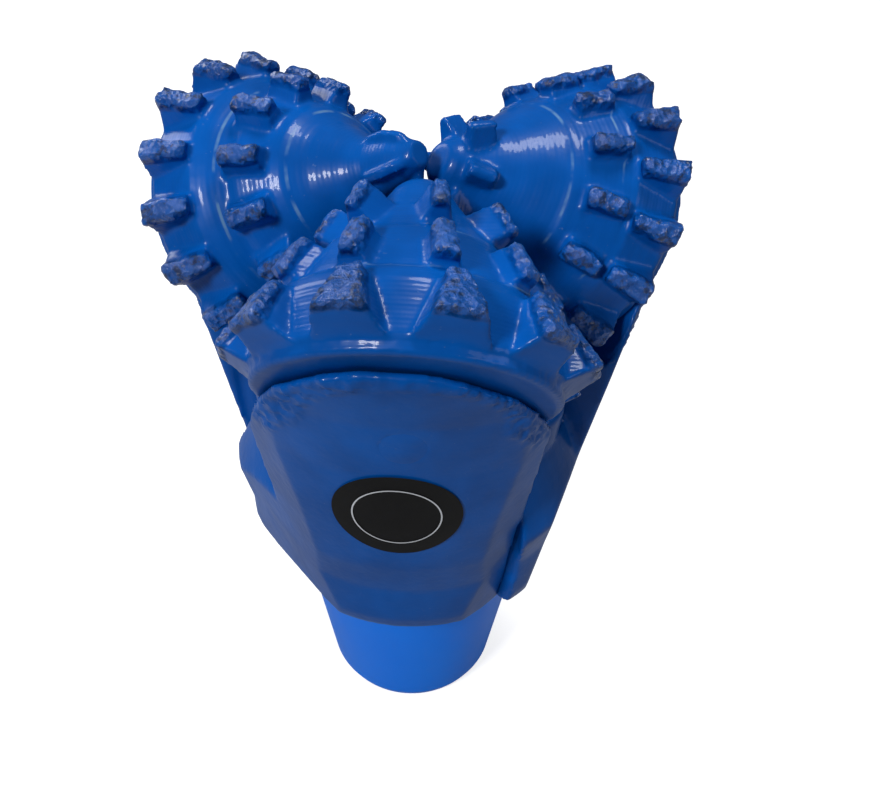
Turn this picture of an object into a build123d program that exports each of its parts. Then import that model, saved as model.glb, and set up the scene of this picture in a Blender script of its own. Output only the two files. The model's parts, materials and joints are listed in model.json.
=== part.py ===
"""Milled-tooth tricone drill bit, 8 1/2 in gauge, standing on its pin with the cones up.

z = 0 is the bottom face of the thread protector and +Z is the bit's axis towards the cones.
Leg A is the front one. Each cone assembly is built about its own journal axis, with local +Z
pointing along the journal towards the leg, and then placed by journal_place().
"""
from build123d import *
import os
from math import cos, radians, sin, sqrt, tan

os.makedirs("parts", exist_ok=True)

# ---------------------------------------------------------------- driving dimensions, mm
GAUGE_R = 107.95            # 8 1/2 in bit
JOURNAL_ANGLE = 33.0        # journal axis below the plane square to the bit's axis, degrees
LEG_A_AZIMUTH = -96.5
APEX_HEIGHT = 201.0         # journal axes' height above the make-up shoulder
CONE_OFFSET = 3.0           # each journal axis passes this far beside the bit's axis
LEGS = {"a": 0, "b": 1, "c": 2}

# pin, 4 1/2 in regular, modelled at the thread's pitch cone
PIN_LENGTH = 107.95
PIN_BASE_R = 57.4
PIN_TAPER = 0.125
PIN_BORE_R = 28.5
UNDERCUT_WIDTH = 5.0
UNDERCUT_DEPTH = 1.6

# leg, heights above the make-up shoulder
SHOULDER_R = 72.0
SHOULDER_ROUND_R = 80.0
SHOULDER_ROUND_Z = 12.0
LEG_TOP_R = 106.4
SHIRTTAIL_TOP_Z = 184.0
PLENUM_TOP_Z = 50.0
CROTCH_Z = 84.0
CROTCH_LOW_Z = 50.0         # the slope between two arms starts here at the outside
CROTCH_IN_R = 70.0          # and ends here at the crotch
SEAM_HALF_WIDTH = 1.0
SEAM_DEPTH = 6.0
SECTOR_START = -81.0        # a leg's third of the body, azimuth from its middle, degrees
ARM_START = -44.0           # arc an arm covers, degrees
ARM_END = 39.0
ARM_HALF_WIDTH = 61.0
ARM_INNER_R = 40.0
FACET_TURN = 47.0           # azimuth of a leg's side facets from its middle, degrees
FACET_BASE = 70.0           # facet's distance from the axis at the shoulder
FACET_LEAN = 0.17
BACK_GAP = 0.9              # between a cone's back face and its leg
CONE_CLEARANCE = 3.0        # between a leg and the sweep of a cone

# journal and bearing, along the journal axis from the apex
BACK_T = 97.0
JOURNAL_R = 22.0
ROLLER_R = 4.2
ROLLER_LENGTH = 21.0
ROLLER_T = 80.5
ROLLER_COUNT = 18
BALL_R = 6.0
BALL_T = 61.0
BALL_COUNT = 12
PILOT_R = 14.9
PILOT_START_T = 51.5
PILOT_END_T = 39.5
BUSH_WALL = 3.0
BUTTON_R = 9.0
BUTTON_THICK = 3.4
RUN_CLEAR = 0.05
END_CLEAR = 0.05
BALL_HOLE_R = 6.5
PLUG_CLEAR = 0.05

# cone shell
HEEL_CREST_T = 84.85
HEEL_CREST_R = 67.4
GAUGE_SLOPE = 1.54
RIM_BAND = 3.6
RIM_BEAD = 1.0             # how far the rim's bead stands out of its groove
HEEL_LAND_R = 52.5
HEEL_LAND_FLARE = 4.2
FLANK_ANGLE = 18.5
CREST_SLOPE = 0.586
TOOTH_SINK = 4.0

# nozzles
NOZZLE_TURN = -60.0         # azimuth of a leg's nozzle from its middle
NOZZLE_CIRCLE_R = 56.0
NOZZLE_TOP_Z = 107.0
NOZZLE_R = 13.0
NOZZLE_LENGTH = 26.0
NOZZLE_THROAT_R = 5.6
NOZZLE_WALL = 5.0
RETAINER_THICK = 3.2
PASSAGE_R = 9.0
O_RING_R = 1.6
FIT_CLEAR = 0.05

# thread protector
PROTECTOR_WALL = 2.4
PROTECTOR_CLEAR = 0.35
PROTECTOR_END = 6.0
PROTECTOR_SHOULDER_GAP = 3.5
PROTECTOR_ROUND = 7.0

# Each cone: body profile (t, r) from the nose, then its rows. A row is (t of the crest's nose end,
# its length along t, crest radius at the nose end, tooth count, crest width outside, inside,
# height of the tooth).
HEEL_START_T = 68.5
CONES = {
    "a": {
        "body": [(14.0, 7.0), (17.0, 10.5), (24.0, 15.0), (38.5, 26.5), (44.0, 31.5), (46.0, 34.0),
                 (62.5, 44.5), (64.5, 45.0), (67.0, 49.5)],
        "nose": 14.0,
        "rows": [(25.5, 12.0, 32.0, 7, 4.2, 4.2, 13.0), (47.5, 13.5, 46.0, 10, 6.0, 5.0, 12.5)],
        "heel": (11, 16.0, 5.0),
    },
    "b": {
        "body": [(-4.0, 5.0), (8.0, 9.0), (17.0, 11.0), (24.0, 14.5), (36.0, 23.5), (40.0, 28.0),
                 (42.0, 31.0), (57.5, 41.0), (61.0, 41.5), (67.0, 48.5)],
        "nose": -4.0,
        "rows": [(42.0, 14.0, 42.5, 12, 5.4, 4.8, 12.0)],
        "heel": (16, 7.4, 4.6),
    },
    "c": {
        "body": [(12.5, 7.0), (15.0, 9.5), (24.5, 15.0), (30.0, 20.0), (36.0, 24.5), (48.5, 35.5),
                 (50.5, 38.0), (65.5, 48.5), (67.0, 49.5)],
        "nose": 12.5,
        "rows": [(14.0, 9.5, 19.0, 6, 3.4, 3.4, 8.5), (51.0, 13.5, 48.0, 13, 5.4, 4.8, 12.0)],
        "heel": (16, 7.4, 4.6),
    },
}

# ---------------------------------------------------------------- sizes that follow
CREST_RUN = HEEL_CREST_T - HEEL_START_T
GAUGE_END_T = BACK_T - RIM_BAND
RIM_R = HEEL_CREST_R - (GAUGE_END_T - HEEL_CREST_T) * GAUGE_SLOPE
ROLLER_PITCH_R = JOURNAL_R + ROLLER_R + RUN_CLEAR
RACE_R = ROLLER_PITCH_R + ROLLER_R + RUN_CLEAR
ROLLER_HALF = ROLLER_LENGTH / 2
BALL_LAND_R = ROLLER_PITCH_R - ROLLER_R * 0.55
BALL_PITCH_R = BALL_LAND_R + 0.15
BUSH_R = PILOT_R + RUN_CLEAR
BUSH_OUTER_R = BUSH_R + BUSH_WALL
BUTTON_T = PILOT_END_T - END_CLEAR
BUTTON_FLOOR_T = BUTTON_T - BUTTON_THICK
PLENUM_R = PIN_BORE_R
ORIGIN_DROP = PIN_LENGTH + PROTECTOR_END + 1.2


def journal_place(shape, leg, carried=True):
    """Turn a shape from its journal frame (local Z outwards) to its place on the bit."""
    azimuth = LEG_A_AZIMUTH - 120 * LEGS[leg]
    sideways = CONE_OFFSET if carried else 0.0
    put = Pos(0, 0, APEX_HEIGHT) * Rot(0, 0, azimuth) * Pos(0, sideways, 0)
    return put * Rot(0, 90 + JOURNAL_ANGLE, 0) * shape


def leg_place(shape, leg):
    """Turn a shape built with its leg along +X to its place on the bit."""
    return Rot(0, 0, LEG_A_AZIMUTH - 120 * LEGS[leg]) * shape


def turned(points):
    """Solid of revolution about Z from (radius, height) corners."""
    face = make_face(Polyline(*[(r, 0, z) for r, z in points], close=True))
    return revolve(face, Axis.Z, 360)


def rod(radius, start, end):
    """Round bar along Z between two heights."""
    return Pos(0, 0, (start + end) / 2) * Cylinder(radius, abs(end - start))


def group(shapes):
    """Loose solids of one node, kept apart."""
    return Compound([solid for shape in shapes for solid in shape.solids()])


def ball_ring(radius, pitch, count, t):
    """A ring of balls round Z."""
    balls = [Rot(0, 0, 360 * i / count) * Pos(pitch, 0, t) * Sphere(radius) for i in range(count)]
    return group(balls)


# ---------------------------------------------------------------- cone
def tooth(start, run, radius, width_out, width_in, height):
    """Chisel tooth at angle 0, a straight wedge from its root up to a flat crest."""
    slope = sqrt(1 + CREST_SLOPE ** 2)
    length = run * slope
    along = Vector(CREST_SLOPE / slope, 0, 1 / slope)
    normal = Vector(1 / slope, 0, -CREST_SLOPE / slope)
    middle = Vector(radius, 0, start) + along * (length / 2)
    crest = Plane(origin=middle, x_dir=along, z_dir=normal)
    depth = height + TOOTH_SINK
    root = Plane(origin=middle - normal * depth, x_dir=along, z_dir=normal)
    grow = depth * tan(radians(FLANK_ANGLE))
    half = length / 2

    def outline(plane, extra):
        corners = [(-half - extra * 0.12, -width_in / 2 - extra), (half + extra * 0.02, -width_out / 2 - extra),
                   (half + extra * 0.02, width_out / 2 + extra), (-half - extra * 0.12, width_in / 2 + extra)]
        return plane * make_face(Polyline(*corners, close=True))

    return loft([outline(root, grow), outline(crest, 0)], ruled=True)


def tooth_row(start, run, radius, count, width_out, width_in, height, turn):
    """All the teeth of one row."""
    one = tooth(start, run, radius, width_out, width_in, height)
    return [Rot(0, 0, turn + 360 * i / count) * one for i in range(count)]


def cone_shell(leg):
    """Cone body with its milled rows, bored for the bearing."""
    spec = CONES[leg]
    heel_root_r = HEEL_LAND_R + HEEL_LAND_FLARE
    heel_root_t = HEEL_CREST_T + (HEEL_CREST_R - heel_root_r) / GAUGE_SLOPE
    profile = [(0, spec["nose"])] + [(r, t) for t, r in spec["body"]]
    profile += [(HEEL_LAND_R, HEEL_START_T + 3), (heel_root_r, heel_root_t)]
    profile += [(RIM_R + RIM_BEAD, GAUGE_END_T - 0.8), (RIM_R - RIM_BEAD, GAUGE_END_T)]
    profile += [(RIM_R + RIM_BEAD, GAUGE_END_T + 0.8), (RIM_R + RIM_BEAD, BACK_T - 0.8)]
    profile += [(RIM_R, BACK_T), (0, BACK_T)]
    body = turned(profile)
    count, wide, narrow = spec["heel"]
    heel_r = HEEL_CREST_R - CREST_RUN * CREST_SLOPE
    teeth = tooth_row(HEEL_START_T, CREST_RUN, heel_r, count, wide, narrow, 13.0, 0)
    for index, (start, run, radius, number, outer, inner, height) in enumerate(spec["rows"]):
        teeth += tooth_row(start, run, radius, number, outer, inner, height, 11.0 * (index + 1))
    body = body.fuse(*teeth)
    if leg == "b":
        body = body.fuse(*[Rot(0, 0, 90 * i) * spear_blade() for i in range(4)])
    return body - bearing_bore()


def spear_blade():
    """One of the spearpoint's short blades."""
    corners = [(4.0, -3.0), (10.2, 1.0), (13.2, 9.0), (13.2, 17.0), (6.0, 20.0)]
    face = make_face(Polyline(*[(r, 0, t) for r, t in corners], close=True))
    return extrude(face, 1.9, both=True)


def bearing_bore():
    """The cone's inside: roller race, ball race, bushing seat and thrust button seat."""
    race_open = ROLLER_T + ROLLER_HALF + 0.4
    race_floor = ROLLER_T - ROLLER_HALF - 0.4
    corners = [(0, BUTTON_FLOOR_T), (BUTTON_R, BUTTON_FLOOR_T), (BUTTON_R, BUTTON_T - 0.1),
               (BUSH_OUTER_R, BUTTON_T - 0.1), (BUSH_OUTER_R, PILOT_START_T - 0.5),
               (BALL_LAND_R + 0.3, PILOT_START_T - 0.5), (BALL_LAND_R + 0.3, race_floor),
               (RACE_R, race_floor), (RACE_R, race_open), (RACE_R + 2.0, race_open + 1.5),
               (RACE_R + 2.0, BACK_T + 1), (0, BACK_T + 1)]
    groove = Pos(0, 0, BALL_T) * Torus(BALL_PITCH_R, BALL_R + RUN_CLEAR)
    return turned(corners) + groove


def nose_bushing():
    """Bushing that runs on the pilot pin, pressed in the cone."""
    return rod(BUSH_OUTER_R, BUTTON_T - 0.1, PILOT_START_T - 0.5) - rod(BUSH_R, 0, 90)


def thrust_button():
    """Hard disc at the end of the pilot pin, pressed in the cone."""
    return rod(BUTTON_R, BUTTON_FLOOR_T, BUTTON_T - END_CLEAR)


def roller_set():
    """Full complement of rollers round the journal."""
    one = Pos(ROLLER_PITCH_R, 0, ROLLER_T) * Cylinder(ROLLER_R, ROLLER_LENGTH)
    return group([Rot(0, 0, 360 * i / ROLLER_COUNT) * one for i in range(ROLLER_COUNT)])


# ---------------------------------------------------------------- leg
def journal():
    """Bearing journal with roller race, ball race and pilot pin."""
    low = ROLLER_T - ROLLER_HALF - 0.15
    high = ROLLER_T + ROLLER_HALF + 0.15
    corners = [(0, PILOT_END_T), (PILOT_R - 1.2, PILOT_END_T), (PILOT_R, PILOT_END_T + 1.2),
               (PILOT_R, PILOT_START_T), (BALL_LAND_R, PILOT_START_T), (BALL_LAND_R, low),
               (JOURNAL_R, low), (JOURNAL_R, high), (ROLLER_PITCH_R + 2.4, high),
               (ROLLER_PITCH_R + 2.4, BACK_T + BACK_GAP + 12), (0, BACK_T + BACK_GAP + 12)]
    groove = Pos(0, 0, BALL_T) * Torus(BALL_PITCH_R, BALL_R + RUN_CLEAR)
    return turned(corners) - groove


def cone_sweep(leg):
    """Space the turning cone needs, with clearance, up to the plane of the leg's back face."""
    spec = CONES[leg]
    gap = CONE_CLEARANCE
    corners = [(0, spec["nose"] - gap)]
    corners += [(15.0 + gap, spec["nose"] + 2), (34.0 + gap, 22.0), (HEEL_CREST_R + 1.2, HEEL_CREST_T - 10)]
    corners += [(HEEL_CREST_R + 2.0, HEEL_CREST_T), (HEEL_CREST_R + 2.0, BACK_T + BACK_GAP)]
    corners += [(0, BACK_T + BACK_GAP)]
    return turned(corners)


def leg_blank():
    """Outline of the three welded legs and the pin as one turned solid, above the shoulder at z = 0."""
    end_r = PIN_BASE_R - PIN_LENGTH * PIN_TAPER
    neck_r = PIN_BASE_R - UNDERCUT_DEPTH
    corners = [(0, -PIN_LENGTH), (end_r - 3, -PIN_LENGTH), (end_r, -PIN_LENGTH + 3),
               (PIN_BASE_R - UNDERCUT_WIDTH * PIN_TAPER, -UNDERCUT_WIDTH - 2), (neck_r, -UNDERCUT_WIDTH),
               (neck_r, 0), (SHOULDER_R, 0), (SHOULDER_ROUND_R - 2, 4), (SHOULDER_ROUND_R, SHOULDER_ROUND_Z),
               (SHOULDER_ROUND_R, 34), (85, 56), (89, 86), (92.5, 120), (98, 150),
               (LEG_TOP_R, SHIRTTAIL_TOP_Z - 8), (LEG_TOP_R, SHIRTTAIL_TOP_Z + 4), (0, SHIRTTAIL_TOP_Z + 4)]
    return turned(corners)


def sector(start, end, reach, low, high):
    """Wedge of a disc between two azimuths."""
    steps = 6
    rim = []
    for i in range(steps + 1):
        angle = radians(start + (end - start) * i / steps)
        rim.append((reach * cos(angle), reach * sin(angle)))
    face = make_face(Polyline((0, 0), *rim, close=True))
    return Pos(0, 0, low) * extrude(face, high - low)


def side_facet(side):
    """Flat milled on one flank of the leg's outer face."""
    block = Box(60, 160, 400, align=(Align.MIN, Align.CENTER, Align.CENTER))
    lean = Rot(0, 0, side * FACET_TURN) * Pos(FACET_BASE, 0, 0) * Rot(0, -1, 0)
    return lean * Rot(0, FACET_LEAN * 57.3, 0) * block


def nozzle_axis(shape):
    """Place a part built along Z, top at z = 0, on the nozzle's axis of the leg along +X."""
    return Rot(0, 0, NOZZLE_TURN) * Pos(NOZZLE_CIRCLE_R, 0, NOZZLE_TOP_Z) * Rot(0, 5, 0) * shape


def nozzle_boss():
    """Round boss that holds the jet nozzle, between two legs."""
    outer = NOZZLE_R + NOZZLE_WALL
    body = rod(outer, -(NOZZLE_TOP_Z - CROTCH_Z) - 24, -2)
    return nozzle_axis(body + turned([(0, -2), (outer, -2), (outer - 2, 0), (0, 0)]))


def nozzle_hollow():
    """Counterbore, O-ring groove and passage down to the plenum."""
    seat = -RETAINER_THICK - NOZZLE_LENGTH - FIT_CLEAR
    bore = rod(NOZZLE_R + FIT_CLEAR, seat, 1) + rod(NOZZLE_R + 1.0, -RETAINER_THICK - FIT_CLEAR, 1)
    groove_t = seat + NOZZLE_LENGTH / 2
    groove = rod(NOZZLE_R + O_RING_R * 2 + 0.3, groove_t - O_RING_R * 1.2, groove_t + O_RING_R * 1.2)
    passage = rod(PASSAGE_R, seat - 14, seat + 1)
    return nozzle_axis(bore + groove + passage)


def slant_passage():
    """Oblique passage from the plenum to under the nozzle."""
    start = Vector(12, 0, PLENUM_TOP_Z - 12)
    low = -RETAINER_THICK - NOZZLE_LENGTH - 12
    end = Vector(NOZZLE_CIRCLE_R + low * sin(radians(5)), 0, NOZZLE_TOP_Z + low * cos(radians(5)))
    way = end - start
    plane = Plane(origin=start, z_dir=way)
    return Rot(0, 0, NOZZLE_TURN) * (plane * rod(PASSAGE_R, 0, way.length + 2))


def ball_way():
    """Ball loading hole along the journal, and its throat up into the ball race."""
    along = rod(BALL_HOLE_R, BALL_T - BALL_HOLE_R, 170)
    throat = Pos(-BALL_PITCH_R / 2, 0, BALL_T) * Rot(0, 90, 0) * Cylinder(BALL_R + 0.2, BALL_PITCH_R)
    return along + throat


def outside_leg(gap):
    """Everything beyond the outer face of a leg, for trimming a plug flush with it."""
    corners = [(200, -20), (SHOULDER_ROUND_R - gap, -20), (SHOULDER_ROUND_R - gap, 34), (85 - gap, 56),
               (89 - gap, 86), (92.5 - gap, 120), (98 - gap, 150), (LEG_TOP_R - gap, SHIRTTAIL_TOP_Z - 8),
               (LEG_TOP_R - gap, 260), (200, 260)]
    return turned(corners)


def ball_plug(name):
    """Plug that keeps the balls in their race, flush with the leg's outer face."""
    pin = rod(BALL_HOLE_R - PLUG_CLEAR, BALL_T + BALL_R + 1.5, 170)
    neck = rod(BALL_R * 0.6, BALL_T - BALL_HOLE_R + 0.5, BALL_T + BALL_R + 1.5)
    return journal_place(pin + neck, name) - outside_leg(0.6)


def arm_space():
    """Space an arm fills above the crotch: it narrows upwards and stays clear of the bit's middle."""
    half = ARM_HALF_WIDTH
    low = CROTCH_Z - 1
    corners = [(-half, low), (half, low), (half, 112), (half - 8, 142), (half - 20, 162), (half - 38, 176),
               (half - 50, 181), (50 - half, 181), (38 - half, 176), (20 - half, 162), (8 - half, 142), (-half, 112)]
    face = make_face(Polyline(*[(0, y, z) for y, z in corners], close=True))
    slab = extrude(face, 170, dir=(1, 0, 0))
    inside = turned([(0, 0), (ARM_INNER_R, 0), (ARM_INNER_R, 240), (0, 240)])
    return (slab & sector(ARM_START, ARM_END, 240, low, 240)) - inside


def crotch_slope():
    """Sloping face between two arms, from the body's outside in to the nozzle boss."""
    high = CROTCH_Z + 1
    corners = [(SHOULDER_ROUND_R + 6, CROTCH_LOW_Z), (140, CROTCH_LOW_Z), (140, high), (CROTCH_IN_R, high)]
    return turned(corners) & sector(SECTOR_START - 2, ARM_START, 240, CROTCH_LOW_Z, high)


def leg(name):
    """One leg: its third of the pin and body, arm, shirttail, journal and nozzle boss."""
    span = sector(SECTOR_START, SECTOR_START + 120, 240, -PIN_LENGTH - 1, 240)
    blank = leg_blank()
    lower = blank & span & Pos(0, 0, CROTCH_Z - 300) * Box(500, 500, 600)
    body = lower + (blank & arm_space())
    body = body + (nozzle_boss() & sector(SECTOR_START, SECTOR_START + 120, 240, CROTCH_Z - 60, 200))
    body = body - side_facet(1) - side_facet(-1) - crotch_slope()
    body = leg_place(body, name)
    for other in LEGS:
        body = body - journal_place(cone_sweep(other), other)
    limit = leg_place(blank & sector(ARM_START, ARM_END, 240, 20, 240), name)
    body = body + (journal_place(journal(), name) & journal_side(name)) + (limit & journal_root(name))
    bore = rod(PIN_BORE_R, -PIN_LENGTH - 1, PLENUM_TOP_Z - PIN_BORE_R) + Pos(0, 0, PLENUM_TOP_Z - PIN_BORE_R) * Sphere(PIN_BORE_R)
    body = body - bore - leg_place(nozzle_hollow() + slant_passage(), name)
    body = body - journal_place(ball_way(), name)
    for edge in (SECTOR_START, SECTOR_START + 120):
        body = body - leg_place(seam_groove(edge), name)
    return body


def journal_side(name):
    """Space in front of the back-face plane, where the journal stands free."""
    return journal_place(rod(60, PILOT_END_T - 2, BACK_T + BACK_GAP), name)


def journal_root(name):
    """Journal's foot inside the leg."""
    return journal_place(rod(30, BACK_T + BACK_GAP, BACK_T + BACK_GAP + 30), name)


def seam_groove(azimuth):
    """V groove where two legs are welded together, cut half from each."""
    corners = [(0, -SEAM_HALF_WIDTH), (SEAM_DEPTH, -SEAM_HALF_WIDTH - 0.5), (SEAM_DEPTH, SEAM_HALF_WIDTH + 0.5),
               (0, SEAM_HALF_WIDTH)]
    strip = extrude(make_face(Polyline(*corners, close=True)), CROTCH_Z + 10)
    return Rot(0, 0, azimuth) * Pos(SHOULDER_ROUND_R - SEAM_DEPTH + 1, 0, SHOULDER_ROUND_Z + 10) * strip


def nozzle():
    """Jet nozzle with a rounded entry and a throat at its top."""
    low = -RETAINER_THICK - NOZZLE_LENGTH
    body = rod(NOZZLE_R, low, -RETAINER_THICK)
    corners = [(0, low - 1), (PASSAGE_R + 1, low - 1), (PASSAGE_R, low + 3), (NOZZLE_THROAT_R + 1, low + 15),
               (NOZZLE_THROAT_R, low + 18), (NOZZLE_THROAT_R, -RETAINER_THICK + 1), (0, -RETAINER_THICK + 1)]
    return nozzle_axis(body - turned(corners))


def nozzle_o_ring():
    """O-ring round the nozzle, squeezed to its groove's depth."""
    middle = -RETAINER_THICK - NOZZLE_LENGTH / 2
    return nozzle_axis(Pos(0, 0, middle) * Torus(NOZZLE_R + O_RING_R + 0.1, O_RING_R))


def nozzle_retainer():
    """Snap ring above the nozzle, in the counterbore."""
    ring = rod(NOZZLE_R + 0.95, FIT_CLEAR - RETAINER_THICK, -0.6) - rod(NOZZLE_THROAT_R + 4, -9, 1)
    gap = Pos(NOZZLE_R, 0, -2) * Box(12, 3, 8)
    return nozzle_axis(ring - gap)


def protector():
    """Moulded cup over the pin's thread."""
    top = -PROTECTOR_SHOULDER_GAP
    low = -PIN_LENGTH - 1.2
    top_r = PIN_BASE_R + (top + 0) * PIN_TAPER + PROTECTOR_CLEAR
    low_r = PIN_BASE_R + low * PIN_TAPER + PROTECTOR_CLEAR
    bead = 1.6
    outer = [(0, low - PROTECTOR_END), (low_r + PROTECTOR_WALL - PROTECTOR_ROUND, low - PROTECTOR_END),
             (low_r + PROTECTOR_WALL - 2, low - PROTECTOR_END + 2.2),
             (low_r + PROTECTOR_WALL, low - PROTECTOR_END + PROTECTOR_ROUND),
             (top_r + PROTECTOR_WALL - 0.8, top - 6), (top_r + PROTECTOR_WALL + bead, top - 5),
             (top_r + PROTECTOR_WALL + bead, top), (0, top)]
    inner = [(0, low), (low_r - 1, low), (low_r, low + 2), (top_r, top + 0.01), (top_r, top + 1), (0, top + 1)]
    return turned(outer) - turned(inner)


def lift(shape):
    """Raise from the shoulder-based height to the standing height."""
    return Pos(0, 0, ORIGIN_DROP) * shape


def write(node, shape):
    """Write one node's solid."""
    export_step(lift(shape), f"parts/{node}.step")


def main():
    """Write every node."""
    for name in LEGS:
        write(f"leg_{name}", leg(name))
        write(f"cone_{name}", journal_place(cone_shell(name), name))
        write(f"nose_bushing_{name}", journal_place(nose_bushing(), name))
        write(f"thrust_button_{name}", journal_place(thrust_button(), name))
        write(f"rollers_{name}", journal_place(roller_set(), name))
        write(f"balls_{name}", journal_place(ball_ring(BALL_R, BALL_PITCH_R, BALL_COUNT, BALL_T), name))
        write(f"ball_plug_{name}", ball_plug(name))
        write(f"nozzle_{name}", leg_place(nozzle(), name))
        write(f"nozzle_o_ring_{name}", leg_place(nozzle_o_ring(), name))
        write(f"nozzle_retainer_{name}", leg_place(nozzle_retainer(), name))
    write("thread_protector", protector())


main()
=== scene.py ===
import json
from math import cos, pi, radians, sin

import bpy
from mathutils import Matrix, Vector
from mathutils.bvhtree import BVHTree


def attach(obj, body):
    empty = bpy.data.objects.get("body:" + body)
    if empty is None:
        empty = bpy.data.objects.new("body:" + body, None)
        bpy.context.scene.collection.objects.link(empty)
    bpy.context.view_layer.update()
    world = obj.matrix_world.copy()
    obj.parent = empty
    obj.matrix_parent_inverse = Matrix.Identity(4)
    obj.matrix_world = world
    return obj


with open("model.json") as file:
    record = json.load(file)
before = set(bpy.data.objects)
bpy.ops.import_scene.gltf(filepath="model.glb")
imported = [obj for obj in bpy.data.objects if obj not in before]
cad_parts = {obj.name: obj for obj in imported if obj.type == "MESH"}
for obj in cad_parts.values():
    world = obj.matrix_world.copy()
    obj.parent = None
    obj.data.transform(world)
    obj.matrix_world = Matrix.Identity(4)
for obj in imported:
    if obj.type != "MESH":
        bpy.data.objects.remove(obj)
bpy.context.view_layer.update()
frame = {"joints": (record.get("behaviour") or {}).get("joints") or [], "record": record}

# Places and directions from the frame. Metres.
LEGS = ("a", "b", "c")
SPIN = {leg: next(j for j in frame["joints"] if j["name"] == f"cone_{leg}_spin") for leg in LEGS}
AXIS = {leg: Vector(SPIN[leg]["axis"]) for leg in LEGS}
PIVOT = {leg: Vector(SPIN[leg]["pos_m"]) for leg in LEGS}
SHOULDER_Z = next(m for m in frame["record"]["mounts"] if m["name"] == "make_up_shoulder")["pos_m"][2]

# Sizes that the frame doesn't hold. "Along" is a distance on a cone's axis, from the point where it passes
# the bit's axis, and "radius" is a distance from the cone's axis.
PIVOT_ALONG = 0.080             # the joint's own point
CREST_SLOPE = 0.586             # how the rough line of the tooth crests rises along the axis
CREST_START = 0.0186            # and its radius at 0
CREST_FADE = 0.004              # where the hardfacing thins out
HEEL_END = 0.090                # the heel teeth's outer end
PAINT_DEPTH = 0.0065            # hardfacing below the crests, as it looks
LUMP_DEPTH = 0.0075             # and as it is lumpy
LUMP_HEIGHT = 0.0046
LAND_EDGES = {"a": (0.0450, 0.0655), "b": (0.0405, 0.0645), "c": (0.0495, 0.0660)}  # steps between lands
LAND_SLOPE = 0.735              # rough slope of the lands
SHIRTTAIL_START = (0.0992, 0.1004)      # along, where the band of lumps on a shirttail begins
SHIRTTAIL_END = (0.1055, 0.1085)        # and ends
SHIRTTAIL_R = (0.034, 0.038)            # radius beyond which it lies
SHIRTTAIL_Z = (0.118, 0.134)            # above the shoulder
SHIRTTAIL_LUMP_HEIGHT = 0.0052
PAINT_END = (0.0052, 0.0048)            # below the shoulder: bare pin, and full paint
THREAD_PITCH = 0.00508
THREAD_DEPTH = 0.0060
CONE_CELL = 0.00115                     # mesh size of the softened nodes, and how often they are smoothed
CONE_ROUNDS = 3
LEG_CELL = 0.0014
LEG_ROUNDS = 5

# Linear colours.
DEEP_BLUE = (0.0, 0.062, 0.290, 1)
PALE_BLUE = (0.0002, 0.090, 0.410, 1)
# painted highlight: the pale colour of the lines along the steps between lands
EDGE_HIGHLIGHT_BLUE = (0.10, 0.22, 0.42, 1)
DUST = (0.16, 0.24, 0.36, 1)
# painted shade: the near-black of shaded pits in the hardfacing
PAINTED_PIT_SHADE = (0.004, 0.012, 0.035, 1)
PHOSPHATE = (0.030, 0.031, 0.033, 1)
PHOSPHATE_PALE = (0.060, 0.060, 0.062, 1)
PLASTIC_BLUE = (0.0, 0.180, 0.92, 1)
PLASTIC_LIGHT = (0.0, 0.230, 1.0, 1)
STEEL = (0.62, 0.62, 0.62)
BRASS = (0.70, 0.50, 0.22)
CARBIDE = (0.30, 0.30, 0.32)
RUBBER = (0.015, 0.015, 0.015, 1)
RUBBER_PALE = (0.03, 0.03, 0.03, 1)
LABEL_BLACK = (0.0015, 0.0015, 0.002, 1)
LABEL_BLACK_PALE = (0.003, 0.003, 0.0035, 1)
LABEL_GREY = (0.50, 0.53, 0.58, 1)
LABEL_GREY_PALE = (0.60, 0.62, 0.66, 1)
FLOOR_GREY = (0.40, 0.40, 0.40, 1)
FLOOR_GREY_PALE = (0.44, 0.44, 0.44, 1)
WHITE = (1, 1, 1, 1)


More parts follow.
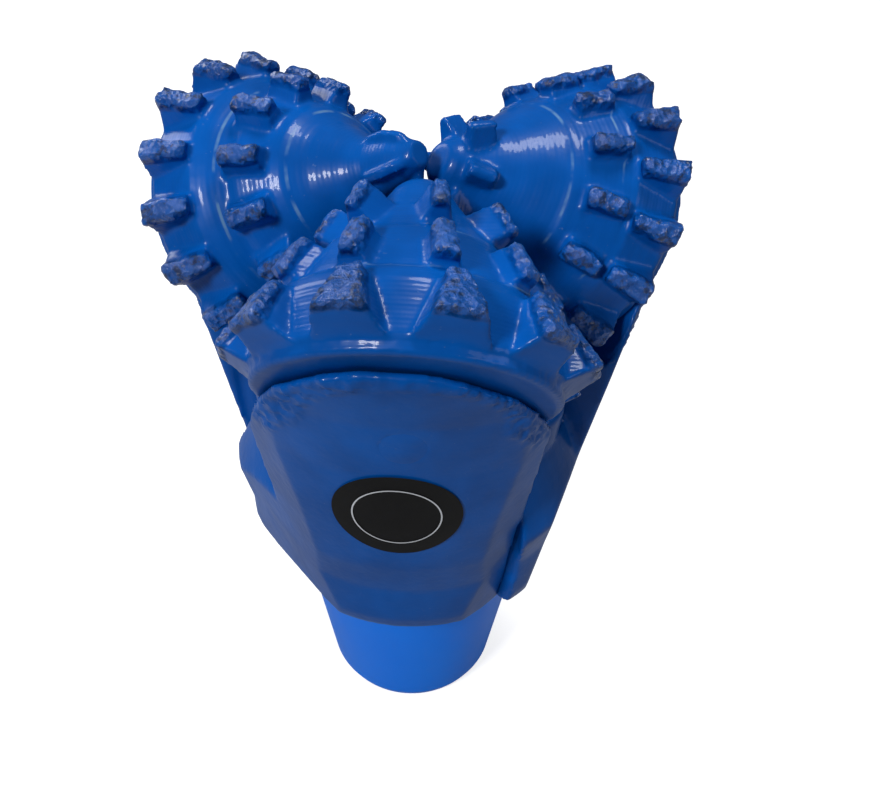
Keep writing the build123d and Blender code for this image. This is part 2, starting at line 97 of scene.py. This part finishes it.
# ---------------------------------------------------------------- material building
class Wires:
    """Short calls for a material's or modifier's nodes."""

    def __init__(self, tree):
        self.tree = tree

    def make(self, kind, **values):
        node = self.tree.nodes.new(kind)
        for name, value in values.items():
            setattr(node, name, value)
        return node

    def link(self, value, socket):
        if isinstance(value, bpy.types.NodeSocket):
            self.tree.links.new(value, socket)
        else:
            socket.default_value = value

    def math(self, operation, *values, clamp=False):
        node = self.make("ShaderNodeMath", operation=operation, use_clamp=clamp)
        for value, socket in zip(values, node.inputs):
            self.link(value, socket)
        return node.outputs[0]

    def scaled(self, value, factor, base):
        """factor times value, plus base."""
        return self.math("ADD", self.math("MULTIPLY", value, factor), base)

    def opposite(self, value, clamp=False):
        """1 less value."""
        return self.math("SUBTRACT", 1.0, value, clamp=clamp)

    def vector(self, operation, *values):
        node = self.make("ShaderNodeVectorMath", operation=operation)
        for value, socket in zip(values, node.inputs):
            self.link(value, socket)
        return node.outputs["Value"] if operation in ("DOT_PRODUCT", "LENGTH") else node.outputs[0]

    def axes(self, where):
        """X, Y and Z of a place."""
        node = self.make("ShaderNodeSeparateXYZ")
        self.link(where, node.inputs[0])
        return [node.outputs[name] for name in "XYZ"]

    def noise(self, where, scale, detail=3.0, rough=0.6):
        node = self.make("ShaderNodeTexNoise")
        for name, value in (("Vector", where), ("Scale", scale), ("Detail", detail), ("Roughness", rough)):
            self.link(value, node.inputs[name])
        return node.outputs["Fac"] if "Fac" in node.outputs else node.outputs[0]

    def cells(self, where, scale):
        node = self.make("ShaderNodeTexVoronoi")
        self.link(where, node.inputs["Vector"])
        self.link(scale, node.inputs["Scale"])
        return node.outputs["Distance"]

    def steps(self, value, start, end):
        """0 below start, 1 above end, smooth between."""
        node = self.make("ShaderNodeMapRange", interpolation_type="SMOOTHSTEP")
        self.link(value, node.inputs["Value"])
        self.link(start, node.inputs["From Min"])
        self.link(end, node.inputs["From Max"])
        return node.outputs["Result"]

    def mix(self, factor, first, second):
        node = self.make("ShaderNodeMix", data_type="RGBA")
        self.link(factor, node.inputs["Factor"])
        self.link(first, node.inputs[6])
        self.link(second, node.inputs[7])
        return node.outputs[2]

    def bump(self, height, distance, strength=1.0, under=None):
        node = self.make("ShaderNodeBump")
        self.link(height, node.inputs["Height"])
        self.link(distance, node.inputs["Distance"])
        self.link(strength, node.inputs["Strength"])
        if under is not None:
            self.link(under, node.inputs["Normal"])
        return node.outputs["Normal"]


def material(name):
    """New material, its wires, its surface and the object coordinates."""
    made = bpy.data.materials.new(name)
    made.use_nodes = True
    wires = Wires(made.node_tree)
    surface = made.node_tree.nodes["Principled BSDF"]
    where = wires.make("ShaderNodeTexCoord").outputs["Object"]
    return made, wires, surface, where


def journal_coordinates(wires, where, leg):
    """Along and radius of a place, on one cone's axis."""
    offset = wires.vector("SUBTRACT", where, tuple(PIVOT[leg]))
    along = wires.vector("DOT_PRODUCT", offset, tuple(AXIS[leg]))
    squared = wires.math("POWER", wires.vector("LENGTH", offset), 2.0)
    radius = wires.math("SQRT", wires.math("SUBTRACT", squared, wires.math("POWER", along, 2.0)))
    return wires.math("ADD", along, PIVOT_ALONG), radius


def hardfaced(wires, along, radius, depth):
    """1 on the teeth, above the rough line that is depth below their crests, short of the heel's end."""
    crest = wires.scaled(along, CREST_SLOPE, CREST_START - depth)
    outer = wires.steps(wires.math("SUBTRACT", radius, crest), 0.0, CREST_FADE)
    short = wires.steps(wires.math("SUBTRACT", HEEL_END, along), 0.0, CREST_FADE)
    return wires.math("MULTIPLY", outer, short)


def paint_coat(wires, surface, where):
    """Brushed-on gloss enamel: slow colour change, dust specks and uneven gloss."""
    slow = wires.noise(where, 22.0)
    specks = wires.steps(wires.noise(where, 520.0, 2.0), 0.70, 0.78)
    colour = wires.mix(wires.steps(slow, 0.30, 0.72), DEEP_BLUE, PALE_BLUE)
    colour = wires.mix(wires.math("MULTIPLY", specks, 0.25), colour, DUST)
    wires.link(colour, surface.inputs["Base Color"])
    wires.link(wires.scaled(wires.noise(where, 60.0), 0.16, 0.26), surface.inputs["Roughness"])
    wires.link(0.12, surface.inputs["Coat Weight"])
    wires.link(0.05, surface.inputs["Coat Roughness"])
    wires.link(0.10, surface.inputs["Specular IOR Level"])
    return colour


def land_edge_highlight(wires, where, along, radius, place):
    """1 on the broken line of painted highlight where a turned land steps down, between the teeth."""
    away = wires.math("ABSOLUTE", wires.math("SUBTRACT", along, place))
    line = wires.opposite(wires.steps(away, 0.00015, 0.0006))
    line = wires.math("MULTIPLY", line, wires.steps(wires.noise(where, 60.0), 0.44, 0.64))
    land_radius = LAND_SLOPE * place
    return wires.math("MULTIPLY", line, wires.opposite(wires.steps(radius, land_radius, land_radius + 0.003)))


def turning_marks(wires, where, along):
    """Fine and coarse lathe grooves round a cone."""
    fine_turns, coarse_turns = 3900.0, 1450.0   # radians per metre along the axis
    groove = wires.math("SINE", wires.math("MULTIPLY", along, fine_turns))
    wander = wires.math("MULTIPLY", wires.noise(where, 30.0), 9.0)
    coarse = wires.math("SINE", wires.math("ADD", wires.math("MULTIPLY", along, coarse_turns), wander))
    return wires.scaled(groove, 0.5, coarse)


def cone_paint(leg):
    made, wires, surface, where = material(f"cone_{leg}_paint")
    along, radius = journal_coordinates(wires, where, leg)
    hard = hardfaced(wires, along, radius, PAINT_DEPTH)
    colour = paint_coat(wires, surface, where)
    # painted shade: near-black specks at random spots on the teeth stand for the shade in the hardfacing's
    # pits
    pits = wires.steps(wires.noise(where, 260.0, 4.0, 0.7), 0.50, 0.62)
    pit_shade_mask = wires.math("MULTIPLY", wires.math("MULTIPLY", pits, hard), 0.75)
    wires.link(wires.scaled(hard, 0.75, 0.15), surface.inputs["Coat Weight"])
    colour = wires.mix(pit_shade_mask, colour, PAINTED_PIT_SHADE)
    # painted highlight: pale broken lines along the steps between the lands
    for place in LAND_EDGES[leg]:
        colour = wires.mix(land_edge_highlight(wires, where, along, radius, place), colour, EDGE_HIGHLIGHT_BLUE)
    wires.link(colour, surface.inputs["Base Color"])
    smooth = wires.opposite(hard, clamp=True)
    turning = wires.math("MULTIPLY", turning_marks(wires, where, along), smooth)
    lands = wires.bump(turning, 0.000035, 0.6)
    lumps = wires.math("ADD", wires.noise(where, 210.0, 5.0, 0.75), wires.cells(where, 320.0))
    normal = wires.bump(wires.math("MULTIPLY", lumps, hard), 0.0017, 0.9, lands)
    wires.link(wires.bump(wires.noise(where, 70.0), 0.0004, 0.5, normal), surface.inputs["Normal"])
    wires.link(normal, surface.inputs["Coat Normal"])
    return made


def leg_paint():
    """Enamel above the make-up shoulder, and phosphated steel with its thread on the pin below."""
    made, wires, surface, where = material("leg_paint")
    colour = paint_coat(wires, surface, where)
    x, y, z = wires.axes(where)
    bare_z, painted_z = (SHOULDER_Z - drop for drop in PAINT_END)
    pin = wires.opposite(wires.steps(z, bare_z, painted_z))
    phosphate = wires.mix(wires.noise(where, 160.0), PHOSPHATE, PHOSPHATE_PALE)
    wires.link(wires.mix(pin, colour, phosphate), surface.inputs["Base Color"])
    forged = wires.bump(wires.noise(where, 36.0, 4.0), 0.0009, 0.55)
    drips = wires.bump(wires.noise(where, 140.0, 2.0), 0.0003, 0.6, forged)
    lead = wires.math("DIVIDE", wires.math("ARCTAN2", y, x), 2 * pi)
    turns = wires.math("ADD", wires.math("DIVIDE", z, THREAD_PITCH), lead)
    flank = wires.math("PINGPONG", turns, 0.5)
    thread = wires.bump(wires.math("MULTIPLY", flank, pin), THREAD_DEPTH, 1.0, drips)
    wires.link(thread, surface.inputs["Normal"])
    wires.link(forged, surface.inputs["Coat Normal"])
    return made


def plastic():
    made, wires, surface, where = material("protector_plastic")
    cloud = wires.noise(where, 12.0)
    wires.link(wires.mix(cloud, PLASTIC_BLUE, PLASTIC_LIGHT), surface.inputs["Base Color"])
    wires.link(wires.scaled(cloud, 0.12, 0.30), surface.inputs["Roughness"])
    wires.link(0.12, surface.inputs["Specular IOR Level"])
    wires.link(wires.bump(wires.noise(where, 300.0), 0.0001, 0.3), surface.inputs["Normal"])
    return made


def metal(name, colour, roughness):
    """Bare metal with fine grain."""
    made, wires, surface, where = material(name)
    grain = wires.noise(where, 400.0)
    darker = tuple(c * 0.7 for c in colour) + (1,)
    wires.link(wires.mix(grain, darker, tuple(colour) + (1,)), surface.inputs["Base Color"])
    wires.link(1.0, surface.inputs["Metallic"])
    wires.link(wires.scaled(grain, 0.15, roughness), surface.inputs["Roughness"])
    wires.link(wires.bump(grain, 0.00005, 0.4), surface.inputs["Normal"])
    return made


def sheet_stuff(name, colour, second, roughness):
    """Rubber and label stock."""
    made, wires, surface, where = material(name)
    wires.link(0.15, surface.inputs["Specular IOR Level"])
    grain = wires.noise(where, 180.0)
    wires.link(wires.mix(grain, colour, second), surface.inputs["Base Color"])
    wires.link(wires.scaled(grain, 0.1, roughness), surface.inputs["Roughness"])
    wires.link(wires.bump(grain, 0.00004, 0.3), surface.inputs["Normal"])
    return made


# ---------------------------------------------------------------- CAD nodes: finish and softening
def paint(node, made):
    """Put one material on a CAD node."""
    slots = bpy.data.objects[node].data.materials
    slots.clear()
    slots.append(made)


def roughening(name, leg, height_at):
    """Node modifier that pushes the surface out by height_at(wires, where, along, radius)."""
    tree = bpy.data.node_groups.new(name, "GeometryNodeTree")
    tree.interface.new_socket("Geometry", in_out="INPUT", socket_type="NodeSocketGeometry")
    tree.interface.new_socket("Geometry", in_out="OUTPUT", socket_type="NodeSocketGeometry")
    wires = Wires(tree)
    source = wires.make("NodeGroupInput")
    result = wires.make("NodeGroupOutput")
    where = wires.make("GeometryNodeInputPosition").outputs[0]
    along, radius = journal_coordinates(wires, where, leg)
    push = wires.make("ShaderNodeVectorMath", operation="SCALE")
    wires.link(wires.make("GeometryNodeInputNormal").outputs[0], push.inputs[0])
    wires.link(height_at(wires, where, along, radius), push.inputs["Scale"])
    move = wires.make("GeometryNodeSetPosition")
    wires.link(source.outputs[0], move.inputs["Geometry"])
    wires.link(push.outputs[0], move.inputs["Offset"])
    smooth = wires.make("GeometryNodeSetShadeSmooth")
    wires.link(move.outputs[0], smooth.inputs[0])
    wires.link(smooth.outputs[0], result.inputs[0])
    return tree


def tooth_lumps(wires, where, along, radius):
    """Height of the hardfacing's lumps on a cone's teeth."""
    hard = hardfaced(wires, along, radius, LUMP_DEPTH)
    coarse = wires.math("SUBTRACT", wires.noise(where, 120.0, 2.0, 0.5), 0.46)
    return wires.math("MULTIPLY", wires.math("MULTIPLY", coarse, hard), LUMP_HEIGHT)


def shirttail_lumps(wires, where, along, radius):
    """Height of the hardfacing's lumps on the band along a shirttail's upper edge."""
    band = wires.math("MULTIPLY", wires.steps(along, *SHIRTTAIL_START),
                      wires.opposite(wires.steps(along, *SHIRTTAIL_END)))
    band = wires.math("MULTIPLY", band, wires.steps(radius, *SHIRTTAIL_R))
    low_z, high_z = (SHOULDER_Z + rise for rise in SHIRTTAIL_Z)
    band = wires.math("MULTIPLY", band, wires.steps(wires.axes(where)[2], low_z, high_z))
    coarse = wires.math("SUBTRACT", wires.noise(where, 190.0, 3.0, 0.7), 0.42)
    return wires.math("MULTIPLY", wires.math("MULTIPLY", coarse, band), SHIRTTAIL_LUMP_HEIGHT)


def soften(node, voxel, rounds, group):
    """Round a node's edges as paint and hardfacing do, then roughen it."""
    thing = bpy.data.objects[node]
    remesh = thing.modifiers.new("cells", "REMESH")
    remesh.mode = "VOXEL"
    remesh.voxel_size = voxel
    remesh.use_smooth_shade = True
    smooth = thing.modifiers.new("soft", "SMOOTH")
    smooth.factor = 0.5
    smooth.iterations = rounds
    thing.modifiers.new("hardfacing", "NODES").node_group = group


def dress_nodes():
    """Material on every CAD node, and soft edges on the cones and legs."""
    steel = metal("bearing_steel", STEEL, 0.25)
    brass = metal("bushing_brass", BRASS, 0.28)
    carbide = metal("nozzle_carbide", CARBIDE, 0.35)
    rubber = sheet_stuff("seal_rubber", RUBBER, RUBBER_PALE, 0.6)
    small = {"rollers": steel, "balls": steel, "thrust_button": steel, "nose_bushing": brass,
             "nozzle": carbide, "nozzle_retainer": steel, "nozzle_o_ring": rubber}
    body = leg_paint()
    for leg in LEGS:
        paint(f"leg_{leg}", body)
        paint(f"ball_plug_{leg}", body)
        paint(f"cone_{leg}", cone_paint(leg))
        for node, made in small.items():
            paint(f"{node}_{leg}", made)
        teeth = roughening(f"hardfacing_{leg}", leg, tooth_lumps)
        soften(f"cone_{leg}", CONE_CELL, CONE_ROUNDS, teeth)
        edge = roughening(f"edge_hardfacing_{leg}", leg, shirttail_lumps)
        soften(f"leg_{leg}", LEG_CELL, LEG_ROUNDS, edge)
    paint("thread_protector", plastic())


# ---------------------------------------------------------------- pieces made here
def mesh_piece(name, points, faces, made):
    """Smooth mesh that rides on the bit's body."""
    data = bpy.data.meshes.new(name)
    data.from_pydata(points, [], faces)
    data.update()
    for face in data.polygons:
        face.use_smooth = True
    thing = bpy.data.objects.new(name, data)
    bpy.context.scene.collection.objects.link(thing)
    data.materials.append(made)
    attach(thing, "bit_body")
    return thing


def surface_tree(node):
    """What a ray can hit on a CAD node as it is dressed."""
    return BVHTree.FromObject(bpy.data.objects[node], bpy.context.evaluated_depsgraph_get())


def ring_faces(rings, sides):
    """Quads between rings + 1 circles of points, sides points on each."""
    faces = []
    for i in range(rings):
        for j in range(sides):
            k = (j + 1) % sides
            faces.append((i * sides + j, i * sides + k, (i + 1) * sides + k, (i + 1) * sides + j))
    return faces


RAY_START = 0.2                 # rays start this far out, well clear of the legs

LABEL_R = 0.0255
LABEL_CENTRE_R = 0.00002        # all but closes the disc's middle
LABEL_RING_R = (0.0170, 0.0176)
LABEL_HEIGHT = 0.096            # centre, above the shoulder
LABEL_RAISE = 0.0006
RING_RAISE = 0.0003             # ring above disc


def disc(name, inner, outer, lift, made):
    """Flat ring or disc laid on leg A's outer face, around the label's centre."""
    tree = surface_tree("leg_a")
    outward = Vector((AXIS["a"].x, AXIS["a"].y, 0)).normalized()
    side = Vector((-outward.y, outward.x, 0))
    middle = outward * RAY_START + Vector((0, 0, SHOULDER_Z + LABEL_HEIGHT))
    rings, sides = 9, 72
    points = []
    for i in range(rings + 1):
        r = inner + (outer - inner) * i / rings
        for j in range(sides):
            turn = radians(360 * j / sides)
            start = middle + side * (r * cos(turn)) + Vector((0, 0, r * sin(turn)))
            hit = tree.ray_cast(start, -outward)[0]
            points.append(hit + outward * (LABEL_RAISE + lift))
    return mesh_piece(name, points, ring_faces(rings, sides), made)


def label():
    """Blank sticker: a plain black disc with one plain ring."""
    black = sheet_stuff("label_black", LABEL_BLACK, LABEL_BLACK_PALE, 0.45)
    pale = sheet_stuff("label_ring", LABEL_GREY, LABEL_GREY_PALE, 0.4)
    disc("label_disc", LABEL_CENTRE_R, LABEL_R, 0.0, black)
    disc("label_ring", *LABEL_RING_R, RING_RAISE, pale)


CAP_R = 0.0085
CAP_CROWN = 0.0007


def weld_cap(leg, made):
    """Ground weld that closes the ball plug's hole, on a leg's outer face."""
    tree = surface_tree(f"leg_{leg}")
    across = AXIS[leg].cross(Vector((0, 0, 1))).normalized()
    rise = across.cross(AXIS[leg])
    rings, sides = 6, 40
    edge = []
    for j in range(sides):
        turn = radians(360 * j / sides)
        start = PIVOT[leg] + AXIS[leg] * RAY_START + (across * cos(turn) + rise * sin(turn)) * CAP_R
        edge.append(tree.ray_cast(start, -AXIS[leg])[0])
    middle = sum(edge, Vector()) / sides
    points = []
    for i in range(rings + 1):
        share = i / rings
        crown = AXIS[leg] * CAP_CROWN * (1 - share ** 2)
        points += [middle.lerp(corner, share) + crown for corner in edge]
    mesh_piece(f"weld_cap_{leg}", points, ring_faces(rings, sides), made)


# ---------------------------------------------------------------- stage
ROOM_LIGHT = 0.09               # strength of the world, as the object sees it
FLOOR_HALF = 6.0
FLOOR_LIFT = 0.80               # the floor's own white near the object, for the camera
FLOOR_FADE = (0.5, 1.8)         # and it rises to 1 between these distances


def white_room():
    """World that is white to the camera and dim to everything else."""
    world = bpy.data.worlds.new("room")
    bpy.context.scene.world = world
    world.use_nodes = True
    wires = Wires(world.node_tree)
    output = next(n for n in world.node_tree.nodes if n.type == "OUTPUT_WORLD")
    path = wires.make("ShaderNodeLightPath")
    pick = wires.make("ShaderNodeMixShader")
    wires.link(path.outputs["Is Camera Ray"], pick.inputs[0])
    for strength, socket in ((ROOM_LIGHT, pick.inputs[1]), (1.0, pick.inputs[2])):
        background = wires.make("ShaderNodeBackground")
        wires.link(WHITE, background.inputs["Color"])
        wires.link(strength, background.inputs["Strength"])
        wires.link(background.outputs[0], socket)
    wires.link(pick.outputs[0], output.inputs["Surface"])


def floor():
    """Grey floor that catches the shadow and looks white to the camera."""
    data = bpy.data.meshes.new("floor")
    corners = [(-FLOOR_HALF, -FLOOR_HALF, 0), (FLOOR_HALF, -FLOOR_HALF, 0),
               (FLOOR_HALF, FLOOR_HALF, 0), (-FLOOR_HALF, FLOOR_HALF, 0)]
    data.from_pydata(corners, [], [(0, 1, 2, 3)])
    thing = bpy.data.objects.new("floor", data)
    bpy.context.scene.collection.objects.link(thing)
    made, wires, surface, where = material("floor_white")
    tone = wires.mix(wires.noise(where, 4.0), FLOOR_GREY, FLOOR_GREY_PALE)
    wires.link(tone, surface.inputs["Base Color"])
    wires.link(0.9, surface.inputs["Roughness"])
    wires.link(0.0, surface.inputs["Specular IOR Level"])
    path = wires.make("ShaderNodeLightPath")
    wires.link(WHITE, surface.inputs["Emission Color"])
    far = wires.steps(wires.vector("LENGTH", where), *FLOOR_FADE)
    shine = wires.scaled(far, 1.0 - FLOOR_LIFT, FLOOR_LIFT)
    lift = wires.math("MULTIPLY", path.outputs["Is Camera Ray"], shine)
    wires.link(lift, surface.inputs["Emission Strength"])
    data.materials.append(made)


def lamp(name, place, size, watts, aim):
    """Area lamp that faces a point."""
    data = bpy.data.lights.new(name, "AREA")
    data.shape = "RECTANGLE"
    data.size, data.size_y = size
    data.energy = watts
    thing = bpy.data.objects.new(name, data)
    thing.location = place
    thing.rotation_mode = "QUATERNION"
    thing.rotation_quaternion = (Vector(aim) - Vector(place)).to_track_quat("-Z", "Y")
    bpy.context.scene.collection.objects.link(thing)


def lights():
    middle = (0, 0, 0.24)
    lamp("key", (-0.75, -0.85, 1.25), (0.30, 0.30), 17, middle)
    lamp("top", (0.25, 0.35, 1.5), (0.45, 0.30), 10, middle)
    lamp("fill", (1.1, -0.7, 0.8), (0.6, 0.6), 2.5, middle)
    lamp("rim", (-0.9, 0.9, 0.7), (0.4, 0.6), 5, middle)


# The camera's place is from the make-up shoulder on the bit's axis. The directions are unit vectors.
CAMERA_PLACE = (-0.01327, -0.31735, 0.36485)
CAMERA_LOOK = (0.05863, 0.73653, -0.67386)
CAMERA_RIGHT = (0.99812, -0.05530, 0.02640)
CAMERA_LENS = 37.325


def camera():
    """Camera at the photograph's angle, without shift."""
    data = bpy.data.cameras.new("camera")
    data.lens = CAMERA_LENS
    data.clip_start = 0.01
    thing = bpy.data.objects.new("camera", data)
    bpy.context.scene.collection.objects.link(thing)
    look = Vector(CAMERA_LOOK).normalized()
    right = Vector(CAMERA_RIGHT)
    right = (right - look * right.dot(look)).normalized()
    up = right.cross(look)
    turn = Matrix((right, up, -look)).transposed()
    place = Vector(CAMERA_PLACE) + Vector((0, 0, SHOULDER_Z))
    thing.matrix_world = Matrix.Translation(place) @ turn.to_4x4()
    bpy.context.scene.camera = thing


dress_nodes()
for leg in LEGS:
    weld_cap(leg, bpy.data.objects[f"leg_{leg}"].data.materials[0])
label()
white_room()
floor()
lights()
camera()
bpy.context.scene.view_settings.view_transform = "Standard"

bpy.context.view_layer.update()
